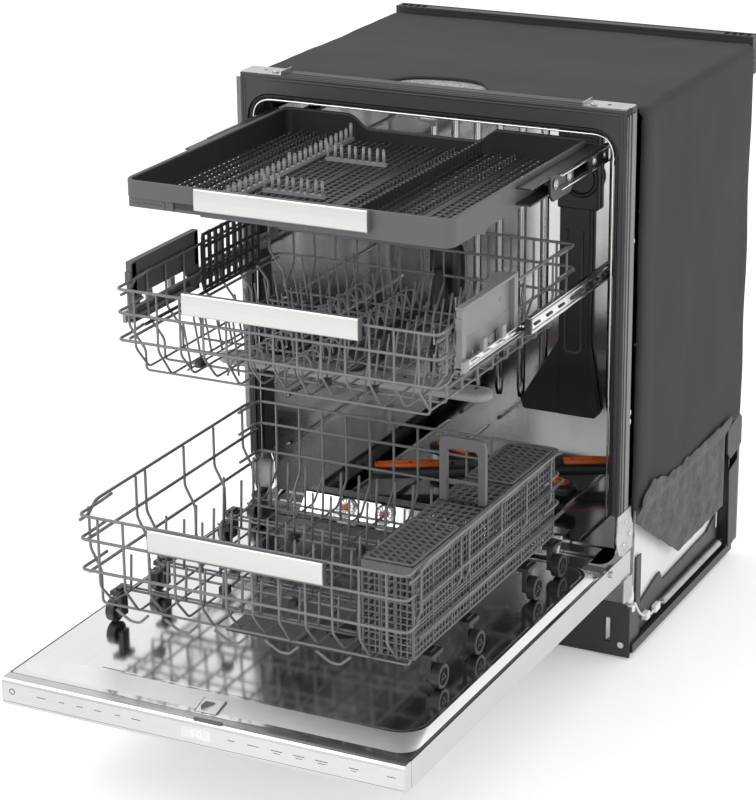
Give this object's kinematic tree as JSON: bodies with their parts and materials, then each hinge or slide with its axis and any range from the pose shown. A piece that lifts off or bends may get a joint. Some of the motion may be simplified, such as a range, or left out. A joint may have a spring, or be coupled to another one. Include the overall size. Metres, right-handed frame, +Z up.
{
  "type": "built-in dishwasher",
  "caption": "Built-in dishwasher with its door open and three racks drawn out: steel tub, wire racks, tray, spray arms and silverware basket.",
  "frame": {"origin": "centre of the footprint on the floor, with the door open", "axes": "+X right as seen from the front, +Y towards the back, +Z up"},
  "size_m": [0.624, 1.24, 0.864],
  "materials": {
    "stainless": "satin",
    "frame_plastic": "matte",
    "gasket_rubber": "matte",
    "felt": "matte",
    "pad_fibre": "matte",
    "black_plastic": "matte",
    "zinc": "satin",
    "white_plastic": "gloss",
    "black_steel": "satin",
    "display_glass": "gloss",
    "dark_plastic": "matte",
    "grey_plastic": "matte",
    "pale_plastic": "matte",
    "orange_plastic": "gloss",
    "handle_aluminium": "satin",
    "rail_chrome": "gloss",
    "rack_coating": "satin"
  },
  "bodies": {
    "cabinet": {"tub": "stainless", "tub_front_frame": "frame_plastic", "door_gasket": "gasket_rubber", "insulation_blanket": "felt", "lower_side_pads": "pad_fibre", "rear_top_beam": "black_plastic", "side_strips": "zinc", "top_brackets": "zinc", "latch_strike": "zinc", "base_pan": "white_plastic", "base_side_rails": "black_steel", "rear_supports": "black_steel", "toe_kick": "black_steel", "toe_kick_screws": "zinc", "levelling_legs": "zinc", "door_springs": "zinc", "hinge_brackets": "zinc", "hinge_pins": "zinc", "hinge_arms": "zinc", "door_outer_panel": "stainless", "door_liner": "stainless", "control_panel": "stainless", "display_window": "display_glass", "latch_housing": "dark_plastic", "dispenser_body": "grey_plastic", "rear_water_conduit": "dark_plastic", "sump_housing": "dark_plastic", "wash_pump": "dark_plastic", "drain_pump": "dark_plastic", "inlet_valve": "white_plastic", "third_outer_rails": "dark_plastic", "upper_outer_rails": "rail_chrome"},
    "third_rack": {"third_rack_tray": "grey_plastic", "third_rack_tines": "pale_plastic", "third_rack_handle": "handle_aluminium"},
    "third_rails": {"third_middle_rails": "dark_plastic"},
    "upper_rack": {"upper_rack_basket": "rack_coating", "upper_rack_handle": "handle_aluminium", "upper_rack_adjusters": "grey_plastic", "upper_manifold": "dark_plastic"},
    "upper_rails": {"upper_middle_rails": "rail_chrome"},
    "upper_arm": {"upper_spray_arm": "grey_plastic"},
    "cup_shelf": {"left_cup_shelf": "dark_plastic"},
    "lower_rack": {"lower_rack_basket": "rack_coating", "lower_rack_handle": "handle_aluminium"},
    "front_wheels": {"wheels_front": "dark_plastic"},
    "second_wheels": {"wheels_second": "dark_plastic"},
    "third_wheels": {"wheels_third": "dark_plastic"},
    "rear_wheels": {"wheels_rear": "dark_plastic"},
    "silverware": {"silverware_basket": "grey_plastic", "basket_handle": "grey_plastic"},
    "front_lid": {"front_basket_lid": "grey_plastic"},
    "rear_lid": {"rear_basket_lid": "grey_plastic"},
    "lower_arm": {"lower_spray_arm": "orange_plastic"},
    "ceiling_arm": {"ceiling_spray_arm": "grey_plastic"},
    "detergent_cover": {"detergent_lid": "grey_plastic"},
    "rinse_cap": {"rinse_aid_cap": "dark_plastic"},
    "latch": {"latch_bolt": "zinc"},
    "filter": {"filter_cup": "grey_plastic"}
  },
  "joints": [
    {"name": "third_rack_slide", "type": "slide", "parent": "cabinet", "child": "third_rack", "axis": [0, 1, 0], "range_m": [0, 0.44]},
    {"name": "third_rail_slide", "type": "slide", "parent": "cabinet", "child": "third_rails", "axis": [0, 1, 0], "range_m": [0, 0.22]},
    {"name": "upper_rack_slide", "type": "slide", "parent": "cabinet", "child": "upper_rack", "axis": [0, 1, 0], "range_m": [0, 0.476]},
    {"name": "upper_rail_slide", "type": "slide", "parent": "cabinet", "child": "upper_rails", "axis": [0, 1, 0], "range_m": [0, 0.238]},
    {"name": "lower_rack_slide", "type": "slide", "parent": "cabinet", "child": "lower_rack", "axis": [0, 1, 0], "range_m": [0, 0.585]},
    {"name": "front_wheel_roll", "type": "hinge", "parent": "lower_rack", "child": "front_wheels", "pos_m": [0, -0.412, 0.2073], "axis": [-1, 0, 0], "range_deg": [0, 1980]},
    {"name": "second_wheel_roll", "type": "hinge", "parent": "lower_rack", "child": "second_wheels", "pos_m": [0, -0.297, 0.2073], "axis": [-1, 0, 0], "range_deg": [0, 1980]},
    {"name": "third_wheel_roll", "type": "hinge", "parent": "lower_rack", "child": "third_wheels", "pos_m": [0, -0.1, 0.2073], "axis": [-1, 0, 0], "range_deg": [0, 1980]},
    {"name": "rear_wheel_roll", "type": "hinge", "parent": "lower_rack", "child": "rear_wheels", "pos_m": [0, -0.012, 0.2073], "axis": [-1, 0, 0], "range_deg": [0, 1980]},
    {"name": "silverware_lift", "type": "slide", "parent": "lower_rack", "child": "silverware", "axis": [0, 0, 1], "range_m": [0, 0.02]},
    {"name": "front_lid_hinge", "type": "hinge", "parent": "silverware", "child": "front_lid", "pos_m": [0.173, -0.405, 0.3859], "axis": [0, -1, 0], "range_deg": [0, 95]},
    {"name": "rear_lid_hinge", "type": "hinge", "parent": "silverware", "child": "rear_lid", "pos_m": [0.173, -0.0955, 0.3859], "axis": [0, -1, 0], "range_deg": [0, 95]},
    {"name": "upper_arm_spin", "type": "hinge", "parent": "upper_rack", "child": "upper_arm", "pos_m": [0, -0.165, 0.509], "axis": [0, 0, 1], "continuous": true},
    {"name": "cup_shelf_fold", "type": "hinge", "parent": "upper_rack", "child": "cup_shelf", "pos_m": [-0.23, -0.17, 0.6], "axis": [0, 1, 0], "range_deg": [0, 80]},
    {"name": "lower_arm_spin", "type": "hinge", "parent": "cabinet", "child": "lower_arm", "pos_m": [0, 0.345, 0.175], "axis": [0, 0, 1], "continuous": true},
    {"name": "ceiling_arm_spin", "type": "hinge", "parent": "cabinet", "child": "ceiling_arm", "pos_m": [0, 0.345, 0.815], "axis": [0, 0, 1], "continuous": true},
    {"name": "detergent_cover_slide", "type": "slide", "parent": "cabinet", "child": "detergent_cover", "axis": [-1, 0, 0], "range_m": [0, 0.07]},
    {"name": "rinse_cap_turn", "type": "hinge", "parent": "cabinet", "child": "rinse_cap", "pos_m": [0.055, -0.31, 0.186], "axis": [0, 0, 1], "range_deg": [0, 90]},
    {"name": "latch_bolt_travel", "type": "slide", "parent": "cabinet", "child": "latch", "axis": [0, 1, 0], "range_m": [0, 0.005], "stiffness_N_per_m": 200},
    {"name": "filter_turn", "type": "hinge", "parent": "cabinet", "child": "filter", "pos_m": [0.052, 0.345, 0.135], "axis": [0, 0, 1], "range_deg": [0, 90]}
  ],
  "couplings": [
    {"joint": "third_rail_slide", "follows": "third_rack_slide", "ratio": 0.5},
    {"joint": "upper_rail_slide", "follows": "upper_rack_slide", "ratio": 0.5},
    {"joint": "front_wheel_roll", "follows": "lower_rack_slide", "rad_per_m": 58.824},
    {"joint": "second_wheel_roll", "follows": "lower_rack_slide", "rad_per_m": 58.824},
    {"joint": "third_wheel_roll", "follows": "lower_rack_slide", "rad_per_m": 58.824},
    {"joint": "rear_wheel_roll", "follows": "lower_rack_slide", "rad_per_m": 58.824}
  ]
}
